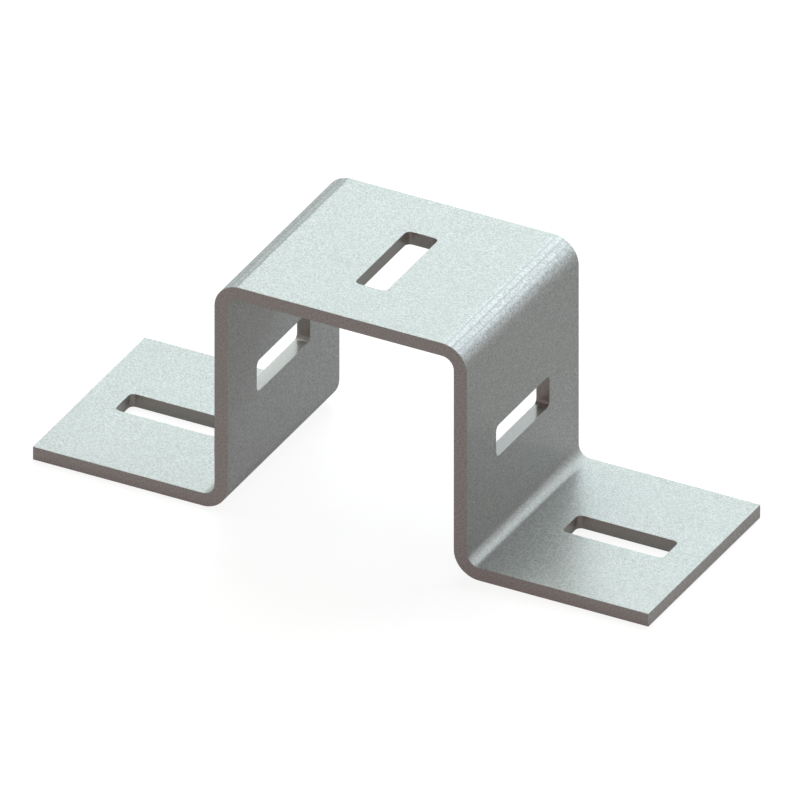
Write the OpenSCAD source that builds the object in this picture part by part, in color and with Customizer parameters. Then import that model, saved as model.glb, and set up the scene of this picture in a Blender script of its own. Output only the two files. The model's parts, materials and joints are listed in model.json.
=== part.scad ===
// Hat-shaped bracket, folded from one strip of steel sheet. It straddles a strut channel,
// and its two flanges bolt down to a second channel that crosses below the first.
// Millimetres. X runs across the bracket, Y runs along the channel that it straddles, Z is up.
// The origin is the middle of the footprint, level with the undersides of the flanges.

/* [Channel that passes through] */
// Width of the channel
channel_w = 41.3; // [30:0.1:80]
// Height of the channel
channel_h = 41.3; // [30:0.1:80]
// Gap between the channel and each wall
side_gap = 0.65; // [0.2:0.05:3]
// Gap between the channel and the top
top_gap = 0.45; // [0.2:0.05:3]

/* [Sheet] */
// Thickness of the sheet
sheet_t = 2.5; // [1.5:0.1:4]
// Radius on the inside of each bend
bend_r = 2.25; // [1:0.05:4]
// Length of the bracket along the channel
bracket_l = 40; // [26:0.5:80]
// Length of each flange, from the outside of its wall to its free end
flange_l = 34.2; // [32:0.1:60]

/* [Slots] */
// Length of each slot
slot_l = 19; // [12:0.5:20]
// Width of each slot
slot_w = 6; // [4:0.1:10]
// Radius in the corners of each slot
slot_corner_r = 1; // [0.3:0.1:1.9]
// Distance from the free end of a flange to the middle of its slot
flange_slot_inset = 15.85; // [13:0.05:17]

/* [Hidden] */
$fn = 96;
// Clear space under the hat
way_w = channel_w + 2 * side_gap;
way_h = channel_h + top_gap;
// Radius on the outside of each bend
bend_outer_r = bend_r + sheet_t;
// Inner and outer faces of the right wall, and the free end of the right flange
wall_inner_x = way_w / 2;
wall_outer_x = wall_inner_x + sheet_t;
flange_end_x = wall_outer_x + flange_l;
// Middles of the sheet in the flange, in the wall and in the top
flange_mid_z = sheet_t / 2;
wall_mid_x = wall_inner_x + sheet_t / 2;
top_mid_z = way_h + sheet_t / 2;
// Middles of the slots in the right flange and in the walls, which are level with the
// middle of the channel's side
flange_slot_x = flange_end_x - flange_slot_inset;
wall_slot_z = channel_h / 2;
// How far a punch reaches past each face of the sheet
punch_reach = 1;

// Quarter ring where the sheet turns a right angle, in the first quadrant about its centre
module bend() {
    intersection() {
        difference() {
            circle(r = bend_outer_r);
            circle(r = bend_r);
        }
        square(bend_outer_r);
    }
}

// Right half of the folded strip seen from its end, with X across and Y up
module half_profile() {
    // Top, from the middle to its bend
    translate([0, way_h])
        square([wall_inner_x - bend_r, sheet_t]);
    // Bend from the top down into the wall
    translate([wall_inner_x - bend_r, way_h - bend_r])
        bend();
    // Wall
    translate([wall_inner_x, bend_outer_r])
        square([sheet_t, way_h - bend_r - bend_outer_r]);
    // Bend from the wall out into the flange
    translate([wall_outer_x + bend_r, bend_outer_r])
        rotate(180)
            bend();
    // Flange
    translate([wall_outer_x + bend_r, 0])
        square([flange_l - bend_r, sheet_t]);
}

// Both halves, drawn out along the channel and centred on it
module folded_strip() {
    rotate([90, 0, 0])
        linear_extrude(bracket_l, center = true) {
            half_profile();
            mirror([1, 0])
                half_profile();
        }
}

// Outline of a slot about its middle, lengthwise along X
module slot_outline() {
    square([slot_l, slot_w - 2 * slot_corner_r], center = true);
    square([slot_l - 2 * slot_corner_r, slot_w], center = true);
    for (x = [-1, 1], y = [-1, 1])
        translate([x * (slot_l / 2 - slot_corner_r), y * (slot_w / 2 - slot_corner_r)])
            circle(r = slot_corner_r);
}

// Punch for one slot, straight through the sheet along Z, about the middle of the sheet
module slot_punch() {
    linear_extrude(sheet_t + 2 * punch_reach, center = true)
        slot_outline();
}

// Slot in the top, lengthwise along the channel
module top_slot() {
    translate([0, 0, top_mid_z])
        rotate(90)
            slot_punch();
}

// Slot in a wall, lengthwise along the channel; side is 1 on the right and -1 on the left
module wall_slot(side) {
    translate([side * wall_mid_x, 0, wall_slot_z])
        rotate([0, 90, 0])
            rotate(90)
                slot_punch();
}

// Slot in a flange, lengthwise across the channel
module flange_slot(side) {
    translate([side * flange_slot_x, 0, flange_mid_z])
        slot_punch();
}

module hat_bracket() {
    color([0.84, 0.88, 0.87])
        difference() {
            folded_strip();
            top_slot();
            for (side = [-1, 1]) {
                wall_slot(side);
                flange_slot(side);
            }
        }
}

hat_bracket();
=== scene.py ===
"""Looks of a strut cross connector: a hat-shaped bracket folded from one strip of zinc-coated sheet."""

import json
import math

import bmesh
import bpy
from mathutils import Matrix, Vector


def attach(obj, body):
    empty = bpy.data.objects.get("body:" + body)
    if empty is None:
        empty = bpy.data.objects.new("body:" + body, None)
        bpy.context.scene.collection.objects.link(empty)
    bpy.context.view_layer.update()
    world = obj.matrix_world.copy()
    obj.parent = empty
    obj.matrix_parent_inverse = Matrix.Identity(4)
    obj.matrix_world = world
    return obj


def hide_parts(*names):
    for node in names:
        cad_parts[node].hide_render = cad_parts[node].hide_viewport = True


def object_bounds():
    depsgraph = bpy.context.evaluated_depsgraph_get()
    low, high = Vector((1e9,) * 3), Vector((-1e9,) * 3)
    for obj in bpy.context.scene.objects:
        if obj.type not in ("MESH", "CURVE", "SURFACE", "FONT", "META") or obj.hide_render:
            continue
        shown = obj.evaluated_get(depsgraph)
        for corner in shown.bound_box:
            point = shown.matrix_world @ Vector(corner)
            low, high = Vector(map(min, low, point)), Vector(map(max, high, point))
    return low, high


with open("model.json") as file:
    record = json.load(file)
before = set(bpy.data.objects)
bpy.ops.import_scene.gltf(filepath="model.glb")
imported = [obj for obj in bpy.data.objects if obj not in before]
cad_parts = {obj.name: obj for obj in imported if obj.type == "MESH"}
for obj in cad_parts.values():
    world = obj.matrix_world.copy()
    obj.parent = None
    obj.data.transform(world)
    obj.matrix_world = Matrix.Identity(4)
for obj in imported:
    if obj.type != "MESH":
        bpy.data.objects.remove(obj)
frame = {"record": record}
cad_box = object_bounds()

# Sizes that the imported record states, in metres
MM = 0.001
mounts = {m["name"]: m for m in frame["record"]["mounts"]}
end_x = cad_box[1].x
half_length = cad_box[1].y
top_z = mounts["top_face"]["pos_m"][2]
sheet_thickness = top_z - mounts["saddle"]["pos_m"][2]
wall_x = mounts["right_outer_wall"]["pos_m"][0]
flange_slot_x = mounts["right_flange_slot"]["pos_m"][0]
wall_slot_z = mounts["right_wall_slot"]["pos_m"][2]
slot_length = mounts["top_slot"]["dims"]["slot_length_mm"] * MM
slot_width = 2 * mounts["top_slot"]["dims"]["hole_r_mm"] * MM

# Sizes of the sheet that the record doesn't state
BEND_INNER_RADIUS = 2.25 * MM
BEND_OUTER_RADIUS = BEND_INNER_RADIUS + sheet_thickness
BEND_MIDDLE_RADIUS = (BEND_INNER_RADIUS + BEND_OUTER_RADIUS) / 2
SLOT_CORNER_RADIUS = 1.0 * MM
RIM_RADIUS = 0.05 * MM

# How finely round parts are made, how sharp an edge is to be eased, and how near points merge
BEND_STEPS = 16
SLOT_CORNER_STEPS = 6
RIM_STEPS = 2
RIM_ANGLE = math.radians(60)
MERGE_DISTANCE = 0.001 * MM
QUARTER = math.radians(90)

# Centres of the right half's two bends, at its foot and at its shoulder
foot_x = wall_x + BEND_INNER_RADIUS
foot_z = sheet_thickness + BEND_INNER_RADIUS
shoulder_x = wall_x - BEND_OUTER_RADIUS
shoulder_z = top_z - BEND_OUTER_RADIUS

# Places along the flat strip, from its middle: the middle of the top bend, and the starts of the
# wall, the foot bend and the flange
bend_length = QUARTER * BEND_MIDDLE_RADIUS
bend_middle = shoulder_x + bend_length / 2
wall_run = shoulder_x + bend_length
foot_run = wall_run + shoulder_z - foot_z
flange_run = foot_run + bend_length

# The point attribute that the finishes read, and the order of the finishes after the coat
FLAT_PLACE = "flat_place"
EDGE_FINISH = 1
SLOT_FINISH = 2

# The photograph is a parallel projection, taken as 800 by 800 pixels
PICTURE_SIDE = 800
PIXELS_PER_METRE = 6000
VIEW_AZIMUTH = math.radians(27.818)
VIEW_ELEVATION = math.radians(31.013)
ORIGIN_PIXEL = (396.60, 488.47)
CAMERA_DISTANCE = 0.6
CAMERA_CLIP = (0.01, 10.0)

# All that shines in the finishes is their metallic share
SPECULAR = 0.0

# Where most values of a noise lie
NOISE_LOW = 0.3
NOISE_HIGH = 0.7

# Zinc coat
ZINC_METALLIC = 0.18
ZINC_ROUGHNESS = (0.28, 0.38)
ZINC_DARK = (0.391, 0.417, 0.410)
ZINC_PALE = (0.718, 0.750, 0.742)
ZINC_CLOUD = (0.554, 0.583, 0.576)
GRAIN_SIZE = 0.17 * MM
GRAIN_DEPTH = 0.010 * MM
GRAIN_DETAIL = 1.0
CLOUD_SIZE = 9 * MM
CLOUD_DETAIL = 2.0
CLOUD_SHARE = 0.25

# Outside of the top bends: bluer, with a wider grain contrast, as painted reflection and painted glints of
# the bends, and with fine tool lines.
# This finish sets in over the rise and fades between two distances past the middle of the bend.
# Its colour is full within the core, on both sides of that middle. The lines are counted over
# the whole bend, and show on its upper half.
BEND_RISE = 0.6 * MM
BEND_CORE = 0.5 * MM
BEND_FADE = (0.1 * MM, 1.2 * MM)
OUTSIDE_DEPTHS = (sheet_thickness / 3, sheet_thickness / 2)
BEND_ROUGHNESS = 0.23
# Bend tones: bluer and of wider range than the coat's, a painted reflection and painted glints of the
# bends
BEND_SHEEN_DARK = (0.345, 0.375, 0.390)
BEND_SHEEN_PALE = (0.740, 0.770, 0.785)
TOOL_LINES = 6
TOOL_LINE_WIDTH = 0.32 * MM
TOOL_LINE_SHIFT = 0.08 * MM
# The tool lines' darker tone is painted shade of their grooves; the grooves themselves are the shallow
# bump
TOOL_LINE_SHADE_TONE = (0.36, 0.39, 0.40)
TOOL_LINE_SHADE_SHARE = 0.58
TOOL_LINE_DEPTH = 0.006 * MM

# Sheared edges round the strip, and slot walls, which the punch left smoother, with darker tones as
# painted shade inside the slots
CUT_METALLIC = 0.14
EDGE_ROUGHNESS = (0.24, 0.32)
EDGE_DARK = (0.576, 0.573, 0.557)
EDGE_PALE = (0.714, 0.712, 0.696)
SLOT_ROUGHNESS = (0.18, 0.26)
# The slot walls' darker tones are painted shade inside the slots
SLOT_SHADED_DARK = (0.432, 0.425, 0.405)
SLOT_SHADED_PALE = (0.562, 0.553, 0.531)
CUT_MARK_SIZE = 0.2 * MM
CUT_MARK_DEPTH = 0.012 * MM
CUT_MARK_DETAIL = 3.0
CUT_MARK_STRETCH = 0.4

# Room and floor. The eye sees a glowing white floor, of which only the shadow share takes light
# and shadow, lifted so that the lit floor still comes out white.
WHITE = (1.0, 1.0, 1.0)
ROOM_LEVEL = 0.05
FLOOR_COLOUR = (0.26, 0.26, 0.26)
FLOOR_HALF_SIZE = 3.0
FLOOR_GAP = 0.05 * MM
SHADOW_SHARE = 0.12
FLOOR_LIFT = 2.25

# Lamps
LAMP_DISTANCE = 1.2
SKY_COLOUR = (0.945, 1.0, 0.932)
ARCH_COLOUR = (0.89, 0.97, 1.0)
ARCH_LEFT_COLOUR = (0.82, 0.95, 1.0)
SIDE_COLOUR = (1.0, 0.91, 0.78)
FRONT_COLOUR = (1.0, 0.20, 0.13)
# Softboxes: degrees round from the front, degrees up, width and height in degrees, level, colour.
# The level is how bright the lamp makes a white surface that faces it.
SOFTBOXES = {
    "arch_right_low": (139.6, 5.1, 12, 12, 0.0270, ARCH_COLOUR),
    "arch_right_next": (142.0, 14.0, 12, 12, 0.0210, ARCH_COLOUR),
    "arch_right": (145.8, 23.6, 12, 12, 0.0543, ARCH_COLOUR),
    "arch_right_high": (155.0, 31.0, 12, 12, 0.0883, ARCH_COLOUR),
    "arch_crown_right": (165.0, 37.5, 12, 12, 0.0577, ARCH_COLOUR),
    "arch_crown": (178.0, 40.7, 12, 12, 0.0846, ARCH_COLOUR),
    "arch_crown_left": (195.0, 38.4, 12, 12, 0.0708, ARCH_LEFT_COLOUR),
    "arch_left": (207.8, 31.0, 12, 12, 0.0813, ARCH_LEFT_COLOUR),
    "arch_left_low": (218.0, 14.0, 12, 12, 0.0045, ARCH_LEFT_COLOUR),
    "back": (210.0, 36.0, 26, 26, 0.0221, SKY_COLOUR),
    "overhead_back": (205.7, 60.0, 26, 26, 0.370, SKY_COLOUR),
    "overhead_left": (257.1, 60.0, 26, 26, 0.153, SKY_COLOUR),
    "overhead_front": (308.6, 60.0, 26, 26, 0.020, SIDE_COLOUR),
    "right": (90.0, 12.0, 26, 26, 0.0195, SIDE_COLOUR),
    "front": (30.0, 12.0, 64, 24, 0.0780, FRONT_COLOUR),
}


def free_edge(bm, x, z):
    """The first free edge of the strip, which runs along Y."""
    return bm.edges.new([bm.verts.new((x, y, z)) for y in (-half_length, half_length)])


def draw_out(bm, edge, x, z):
    """Draws the free edge on in a straight line, and returns the new free edge and the flat panel."""
    start = sum((v.co for v in edge.verts), Vector()) / 2
    made = bmesh.ops.extrude_edge_only(bm, edges=[edge])["geom"]
    corners = [g for g in made if isinstance(g, bmesh.types.BMVert)]
    bmesh.ops.translate(bm, verts=corners, vec=Vector((x, 0, z)) - start)
    panel = next(g for g in made if isinstance(g, bmesh.types.BMFace))
    edge = next(e for e in panel.edges if all(v in corners for v in e.verts))
    return edge, panel


def fold(bm, edge, x, z, angle):
    """Turns the free edge about an axis along Y through x, z, and returns the new free edge."""
    turned = bmesh.ops.spin(bm, geom=[edge], cent=(x, 0, z), axis=(0, 1, 0), angle=angle,
                            steps=BEND_STEPS)
    return next(g for g in turned["geom_last"] if isinstance(g, bmesh.types.BMEdge))


def slot_outline(bm, middle, along, across):
    """A slot's outline with its four corners rounded. Returns its edges."""
    others = set(bm.edges)
    corners = [bm.verts.new(middle + along * (a * slot_length / 2) + across * (b * slot_width / 2))
               for a, b in ((1, 1), (-1, 1), (-1, -1), (1, -1))]
    bm.faces.new(corners)
    bmesh.ops.bevel(bm, geom=corners, offset=SLOT_CORNER_RADIUS, offset_type="OFFSET",
                    segments=SLOT_CORNER_STEPS, profile=0.5, affect="VERTICES", material=-1)
    edges = [e for e in bm.edges if e not in others]
    bmesh.ops.delete(bm, geom=list({f for e in edges for f in e.link_faces}), context="FACES_ONLY")
    return edges


def punch(bm, panel, middle, along, across):
    """Replaces a flat panel with the same panel with a slot through it."""
    border = list(panel.edges)
    bmesh.ops.delete(bm, geom=[panel], context="FACES_ONLY")
    outline = slot_outline(bm, middle, along, across)
    bmesh.ops.triangle_fill(bm, use_beauty=True, use_dissolve=False, edges=border + outline,
                            normal=along.cross(across))


def folded_skin():
    """The upper skin of the strip, drawn from the left flange's free end to the right one's."""
    bm = bmesh.new()
    edge = free_edge(bm, -end_x, sheet_thickness)
    edge, left_flange = draw_out(bm, edge, -foot_x, sheet_thickness)
    edge = fold(bm, edge, -foot_x, foot_z, -QUARTER)
    edge, left_wall = draw_out(bm, edge, -wall_x, shoulder_z)
    edge = fold(bm, edge, -shoulder_x, shoulder_z, QUARTER)
    edge, top = draw_out(bm, edge, shoulder_x, top_z)
    edge = fold(bm, edge, shoulder_x, shoulder_z, QUARTER)
    edge, right_wall = draw_out(bm, edge, wall_x, foot_z)
    edge = fold(bm, edge, foot_x, foot_z, -QUARTER)
    edge, right_flange = draw_out(bm, edge, end_x, sheet_thickness)
    x_way, y_way, z_way = Matrix.Identity(3)
    punch(bm, left_flange, Vector((-flange_slot_x, 0, sheet_thickness)), x_way, y_way)
    punch(bm, left_wall, Vector((-wall_x, 0, wall_slot_z)), y_way, -z_way)
    punch(bm, top, Vector((0, 0, top_z)), y_way, -x_way)
    punch(bm, right_wall, Vector((wall_x, 0, wall_slot_z)), y_way, z_way)
    punch(bm, right_flange, Vector((flange_slot_x, 0, sheet_thickness)), x_way, y_way)
    bmesh.ops.remove_doubles(bm, verts=bm.verts, dist=MERGE_DISTANCE)
    bmesh.ops.recalc_face_normals(bm, faces=bm.faces)
    if sum(f.normal.z * f.calc_area() for f in bm.faces) < 0:
        bmesh.ops.reverse_faces(bm, faces=bm.faces)
    return bm


def flat_place(point):
    """Where a point of the folded sheet lies on the flat strip: along it, across it and below its skin."""
    x, z = abs(point.x), point.z
    if x < shoulder_x:
        run, depth = x, top_z - z
    elif z > shoulder_z:
        turn = math.atan2(x - shoulder_x, z - shoulder_z)
        run = shoulder_x + turn * BEND_MIDDLE_RADIUS
        depth = BEND_OUTER_RADIUS - math.hypot(x - shoulder_x, z - shoulder_z)
    elif z > foot_z:
        run, depth = wall_run + shoulder_z - z, wall_x - x
    elif x < foot_x:
        turn = math.atan2(foot_z - z, foot_x - x)
        run = foot_run + turn * BEND_MIDDLE_RADIUS
        depth = math.hypot(foot_x - x, foot_z - z) - BEND_INNER_RADIUS
    else:
        run, depth = flange_run + x - foot_x, sheet_thickness - z
    return Vector((math.copysign(run, point.x), point.y, depth))


def mark_flat_places(bm):
    """Keeps each point's place on the flat strip, which the finishes follow round the bends."""
    layer = bm.verts.layers.float_vector.new(FLAT_PLACE)
    for vert in bm.verts:
        vert[layer] = flat_place(vert.co)


def on_border(point):
    """Tells if a point lies on one of the four edges round the strip."""
    return end_x - abs(point.x) < RIM_RADIUS or half_length - abs(point.y) < RIM_RADIUS


def mark_cut_faces(bm):
    """Gives the sheared edges and the slot walls their finishes."""
    for face in bm.faces:
        depths = [flat_place(v.co).z for v in face.verts]
        if max(depths) - min(depths) > sheet_thickness / 2:
            border = on_border(face.calc_center_median())
            face.material_index = EDGE_FINISH if border else SLOT_FINISH


def folded_sheet():
    """The strip with its thickness and its eased rims."""
    bm = folded_skin()
    bmesh.ops.solidify(bm, geom=bm.faces[:], thickness=sheet_thickness)
    bmesh.ops.recalc_face_normals(bm, faces=bm.faces)
    mark_cut_faces(bm)
    rims = [e for e in bm.edges if e.calc_face_angle(0) > RIM_ANGLE]
    bmesh.ops.bevel(bm, geom=rims, offset=RIM_RADIUS, offset_type="OFFSET", segments=RIM_STEPS,
                    profile=0.5, affect="EDGES", material=-1)
    mark_flat_places(bm)
    mesh = bpy.data.meshes.new("folded_sheet")
    bm.to_mesh(mesh)
    bm.free()
    mesh.shade_smooth()
    return mesh


def feed(tree, socket, value):
    """Links an input to another node's output, or sets the input's own value."""
    if isinstance(value, bpy.types.NodeSocket):
        tree.links.new(value, socket)
    elif socket.type == "RGBA":
        socket.default_value = (*value, 1)
    else:
        socket.default_value = value


def add_node(tree, kind, **values):
    """Adds a node, with values for its inputs by name."""
    node = tree.nodes.new(kind)
    for name, value in values.items():
        node.inputs[name.replace("_", " ")].default_value = value
    return node


def noise(tree, place, size, detail):
    """Noise from 0 to 1 with features of about the given size in metres."""
    node = add_node(tree, "ShaderNodeTexNoise", Scale=1 / size, Detail=detail)
    tree.links.new(place, node.inputs["Vector"])
    return node.outputs["Fac"]


def cells(tree, place, size):
    """A value from 0 to 1 for each cell of about the given size in metres."""
    node = add_node(tree, "ShaderNodeTexVoronoi", Scale=1 / size)
    tree.links.new(place, node.inputs["Vector"])
    split = tree.nodes.new("ShaderNodeSeparateColor")
    tree.links.new(node.outputs["Color"], split.inputs["Color"])
    return split.outputs["Red"]


def spread(tree, value, low, high, start=NOISE_LOW, end=NOISE_HIGH):
    """Spreads a value between start and end over the range from low to high."""
    node = add_node(tree, "ShaderNodeMapRange", From_Min=start, From_Max=end, To_Min=low, To_Max=high)
    tree.links.new(value, node.inputs["Value"])
    return node.outputs["Result"]


def combine(tree, operation, *values):
    """A math node on one or two values, each a socket or a number."""
    node = tree.nodes.new("ShaderNodeMath")
    node.operation = operation
    for socket, value in zip(node.inputs, values):
        feed(tree, socket, value)
    return node.outputs["Value"]


def multiply(tree, first, *others):
    """All the values multiplied together."""
    for other in others:
        first = combine(tree, "MULTIPLY", first, other)
    return first


def distance_from(tree, value, middle):
    """How far a value is from a middle one."""
    return combine(tree, "ABSOLUTE", combine(tree, "SUBTRACT", value, middle))


def blend(tree, share, first, second, kind):
    """What lies between two values, or two colours where the kind is RGBA."""
    node = tree.nodes.new("ShaderNodeMix")
    node.data_type = kind
    socket_type = "RGBA" if kind == "RGBA" else "VALUE"
    feed(tree, node.inputs["Factor"], share)
    for name, value in (("A", first), ("B", second)):
        feed(tree, next(s for s in node.inputs if s.name == name and s.type == socket_type), value)
    return next(s for s in node.outputs if s.type == socket_type)


def blend_value(tree, share, first, second):
    """A value between two others, each a socket or a number."""
    return blend(tree, share, first, second, "FLOAT")


def blend_colour(tree, share, first, second):
    """A colour between two others, each a socket or a colour."""
    return blend(tree, share, first, second, "RGBA")


def bump(tree, height, depth, normal=None):
    """A bump whose full height is the given depth in metres, on top of another one."""
    node = add_node(tree, "ShaderNodeBump", Distance=depth)
    tree.links.new(height, node.inputs["Height"])
    if normal:
        tree.links.new(normal, node.inputs["Normal"])
    return node.outputs["Normal"]


def flat_coordinates(tree, depth_scale=1.0):
    """Places on the flat strip, with the depth below its skin scaled."""
    node = tree.nodes.new("ShaderNodeAttribute")
    node.attribute_name = FLAT_PLACE
    scaled = tree.nodes.new("ShaderNodeVectorMath")
    scaled.operation = "MULTIPLY"
    scaled.inputs[1].default_value = (1, 1, depth_scale)
    tree.links.new(node.outputs["Vector"], scaled.inputs[0])
    return scaled.outputs["Vector"]


def finish_material(name, metallic):
    """A new material, its tree and its shader, with what is the same all over."""
    material = bpy.data.materials.new(name)
    material.use_nodes = True
    shader = material.node_tree.nodes["Principled BSDF"]
    shader.inputs["Metallic"].default_value = metallic
    shader.inputs["Specular IOR Level"].default_value = SPECULAR
    return material, material.node_tree, shader


def tool_lines(tree, run):
    """A mask of even lines along the top bends, which ends softly at the middle of the bends."""
    pitch = bend_length / TOOL_LINES
    past_start = combine(tree, "SUBTRACT", run, shoulder_x + TOOL_LINE_SHIFT)
    beside = combine(tree, "PINGPONG", past_start, pitch / 2)
    full = (pitch - TOOL_LINE_WIDTH / 2) / 2
    on_line = spread(tree, beside, 0, 1, (pitch - TOOL_LINE_WIDTH) / 2, full)
    upper_half = spread(tree, run, 1, 0, bend_middle - pitch / 2, bend_middle + pitch / 2)
    return multiply(tree, on_line, upper_half)


def outer_bend(tree):
    """Masks of the outside of the top bends: their upper part, its core where the painted sheen is full,
    and its tool lines.
    """
    split = tree.nodes.new("ShaderNodeSeparateXYZ")
    tree.links.new(flat_coordinates(tree), split.inputs["Vector"])
    run = combine(tree, "ABSOLUTE", split.outputs["X"])
    outside = spread(tree, split.outputs["Z"], 1, 0, *OUTSIDE_DEPTHS)
    begun = spread(tree, run, 0, 1, shoulder_x, shoulder_x + BEND_RISE)
    unspent = spread(tree, run, 1, 0, *(bend_middle + distance for distance in BEND_FADE))
    bend = multiply(tree, begun, unspent, outside)
    off_middle = distance_from(tree, run, bend_middle)
    near_middle = spread(tree, off_middle, 1, 0, BEND_CORE, bend_length / 2)
    core = multiply(tree, near_middle, bend)
    return bend, core, multiply(tree, tool_lines(tree, run), bend)


def zinc_colour(tree, place, grain, core, tool_line):
    """Grain and faint clouds, with a painted bluer sheen and painted glints in the core of the top bends,
    and painted shade on their tool lines.
    """
    cloud = noise(tree, place, CLOUD_SIZE, CLOUD_DETAIL)
    plain = blend_colour(tree, grain, ZINC_DARK, ZINC_PALE)
    clouded = blend_colour(tree, spread(tree, cloud, 0, CLOUD_SHARE), plain, ZINC_CLOUD)
    # The bends' painted sheen: a bluer tone, with painted glints in the grain
    painted_bend_sheen = blend_colour(tree, grain, BEND_SHEEN_DARK, BEND_SHEEN_PALE)
    folded = blend_colour(tree, core, clouded, painted_bend_sheen)
    # Painted shade on the tool lines
    return blend_colour(tree, multiply(tree, tool_line, TOOL_LINE_SHADE_SHARE), folded, TOOL_LINE_SHADE_TONE)


def zinc_finish():
    """Pale zinc coat on both faces of the sheet."""
    material, tree, shader = finish_material("zinc_coat", ZINC_METALLIC)
    place = flat_coordinates(tree)
    grain = cells(tree, place, GRAIN_SIZE)
    bend, core, tool_line = outer_bend(tree)
    colour = zinc_colour(tree, place, grain, core, tool_line)
    tree.links.new(colour, shader.inputs["Base Color"])
    dull = spread(tree, grain, *ZINC_ROUGHNESS, 0, 1)
    tree.links.new(blend_value(tree, bend, dull, BEND_ROUGHNESS), shader.inputs["Roughness"])
    grained = bump(tree, noise(tree, place, GRAIN_SIZE, GRAIN_DETAIL), GRAIN_DEPTH)
    dent = multiply(tree, tool_line, -1)
    tree.links.new(bump(tree, dent, TOOL_LINE_DEPTH, grained), shader.inputs["Normal"])
    return material


def cut_finish(name, dark, pale, roughness):
    """Bare cut steel, slightly warm, with fine marks through the thickness."""
    material, tree, shader = finish_material(name, CUT_METALLIC)
    place = flat_coordinates(tree, CUT_MARK_STRETCH)
    marks = noise(tree, place, CUT_MARK_SIZE, CUT_MARK_DETAIL)
    colour = blend_colour(tree, spread(tree, marks, 0, 1), dark, pale)
    tree.links.new(colour, shader.inputs["Base Color"])
    tree.links.new(spread(tree, marks, *roughness), shader.inputs["Roughness"])
    tree.links.new(bump(tree, marks, CUT_MARK_DEPTH), shader.inputs["Normal"])
    return material


def white_to_the_eye(tree, plain, white):
    """Shows one shader to the camera and in reflections, and the plain one to scattered light."""
    rays = tree.nodes.new("ShaderNodeLightPath")
    seen = rays.outputs["Is Camera Ray"]
    for name in ("Is Glossy Ray", "Is Transmission Ray"):
        seen = combine(tree, "MAXIMUM", seen, rays.outputs[name])
    mix = tree.nodes.new("ShaderNodeMixShader")
    tree.links.new(seen, mix.inputs[0])
    tree.links.new(plain, mix.inputs[1])
    tree.links.new(white, mix.inputs[2])
    return mix.outputs[0]


def make_world():
    """A dim even room that looks white."""
    world = bpy.data.worlds.new("room")
    world.use_nodes = True
    tree = world.node_tree
    tree.nodes.clear()
    dim = add_node(tree, "ShaderNodeBackground", Color=(*WHITE, 1), Strength=ROOM_LEVEL)
    white = add_node(tree, "ShaderNodeBackground", Color=(*WHITE, 1), Strength=1)
    output = tree.nodes.new("ShaderNodeOutputWorld")
    shown = white_to_the_eye(tree, dim.outputs[0], white.outputs[0])
    tree.links.new(shown, output.inputs["Surface"])
    bpy.context.scene.world = world


def floor_finish():
    """A floor that is matt grey to the light, and white with a soft shadow to the eye."""
    material = bpy.data.materials.new("floor")
    material.use_nodes = True
    tree = material.node_tree
    tree.nodes.clear()
    plain = add_node(tree, "ShaderNodeBsdfDiffuse", Color=(*FLOOR_COLOUR, 1))
    glow = add_node(tree, "ShaderNodeEmission", Color=(*WHITE, 1), Strength=1 - SHADOW_SHARE)
    lit = add_node(tree, "ShaderNodeBsdfDiffuse", Color=(SHADOW_SHARE * FLOOR_LIFT,) * 3 + (1,))
    white = tree.nodes.new("ShaderNodeAddShader")
    tree.links.new(glow.outputs[0], white.inputs[0])
    tree.links.new(lit.outputs[0], white.inputs[1])
    output = tree.nodes.new("ShaderNodeOutputMaterial")
    shown = white_to_the_eye(tree, plain.outputs[0], white.outputs[0])
    tree.links.new(shown, output.inputs["Surface"])
    return material


def make_floor():
    """A wide plain floor just under the object."""
    bm = bmesh.new()
    bmesh.ops.create_grid(bm, x_segments=1, y_segments=1, size=FLOOR_HALF_SIZE)
    bmesh.ops.translate(bm, verts=bm.verts, vec=(0, 0, -FLOOR_GAP))
    mesh = bpy.data.meshes.new("floor")
    bm.to_mesh(mesh)
    bm.free()
    mesh.materials.append(floor_finish())
    floor = bpy.data.objects.new("floor", mesh)
    bpy.context.scene.collection.objects.link(floor)


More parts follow.
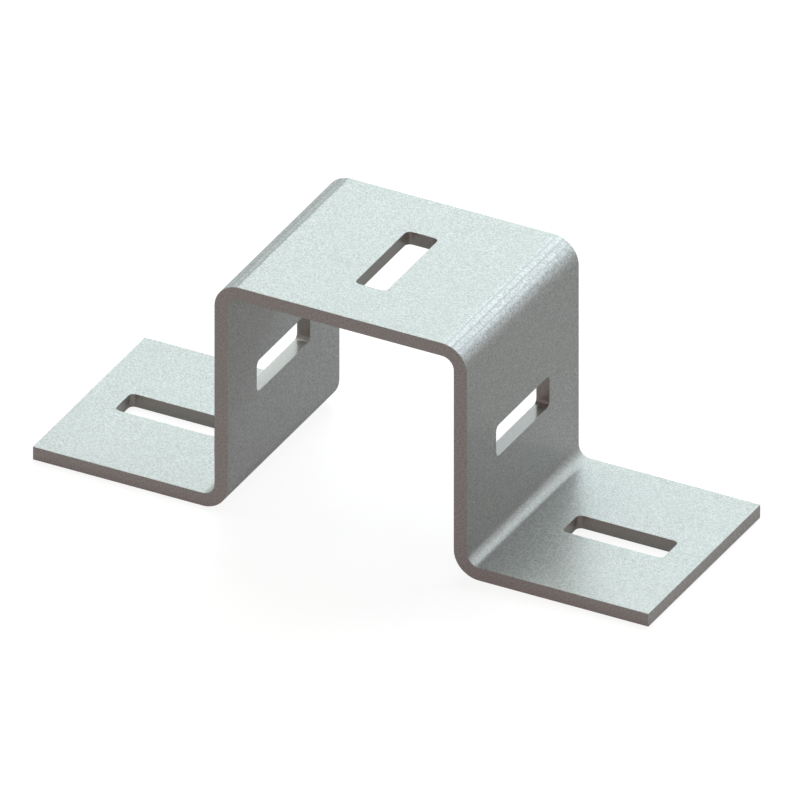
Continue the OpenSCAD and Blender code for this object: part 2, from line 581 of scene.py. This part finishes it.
def add_softbox(name, azimuth, elevation, width, height, level, colour):
    """A softbox that faces the object. Its width and height are angles seen from there."""
    data = bpy.data.lights.new(name, "AREA")
    data.shape = "RECTANGLE"
    data.size = 2 * LAMP_DISTANCE * math.tan(math.radians(width / 2))
    data.size_y = 2 * LAMP_DISTANCE * math.tan(math.radians(height / 2))
    data.energy = level * (math.pi * LAMP_DISTANCE) ** 2
    data.color = colour
    lamp = bpy.data.objects.new(name, data)
    turn = Matrix.Rotation(math.radians(azimuth), 4, "Z")
    tilt = Matrix.Rotation(math.radians(90 - elevation), 4, "X")
    middle = Matrix.Translation((0, 0, top_z / 2))
    lamp.matrix_world = middle @ turn @ tilt @ Matrix.Translation((0, 0, LAMP_DISTANCE))
    lamp.visible_camera = False
    bpy.context.scene.collection.objects.link(lamp)


def make_camera():
    """A parallel camera at the photograph's angle, with the object where the photograph has it."""
    right = Vector((math.cos(VIEW_AZIMUTH), math.sin(VIEW_AZIMUTH), 0))
    back = Vector((math.sin(VIEW_AZIMUTH) * math.cos(VIEW_ELEVATION),
                   -math.cos(VIEW_AZIMUTH) * math.cos(VIEW_ELEVATION),
                   math.sin(VIEW_ELEVATION)))
    up = back.cross(right)
    middle = PICTURE_SIDE / 2
    aim = (right * (middle - ORIGIN_PIXEL[0]) + up * (ORIGIN_PIXEL[1] - middle)) / PIXELS_PER_METRE
    data = bpy.data.cameras.new("camera")
    data.type = "ORTHO"
    data.ortho_scale = PICTURE_SIDE / PIXELS_PER_METRE
    data.clip_start, data.clip_end = CAMERA_CLIP
    camera = bpy.data.objects.new("camera", data)
    camera.matrix_world = (Matrix.Translation(aim + back * CAMERA_DISTANCE)
                           @ Matrix((right, up, back)).transposed().to_4x4())
    bpy.context.scene.collection.objects.link(camera)
    bpy.context.scene.camera = camera


def make_sheet():
    """The folded sheet with its finishes, as the object's one piece."""
    mesh = folded_sheet()
    mesh.materials.append(zinc_finish())
    mesh.materials.append(cut_finish("sheared_edge", EDGE_DARK, EDGE_PALE, EDGE_ROUGHNESS))
    # The slot walls take darker tones, painted shade inside the slots
    mesh.materials.append(cut_finish("slot_wall", SLOT_SHADED_DARK, SLOT_SHADED_PALE, SLOT_ROUGHNESS))
    piece = bpy.data.objects.new("folded_sheet", mesh)
    bpy.context.scene.collection.objects.link(piece)
    piece.modifiers.new("even_normals", "WEIGHTED_NORMAL")
    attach(piece, "root")
    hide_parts("hat_bracket")


bpy.context.scene.view_settings.view_transform = "Standard"
make_camera()
make_world()
make_floor()
for name, softbox in SOFTBOXES.items():
    add_softbox(name, *softbox)
make_sheet()
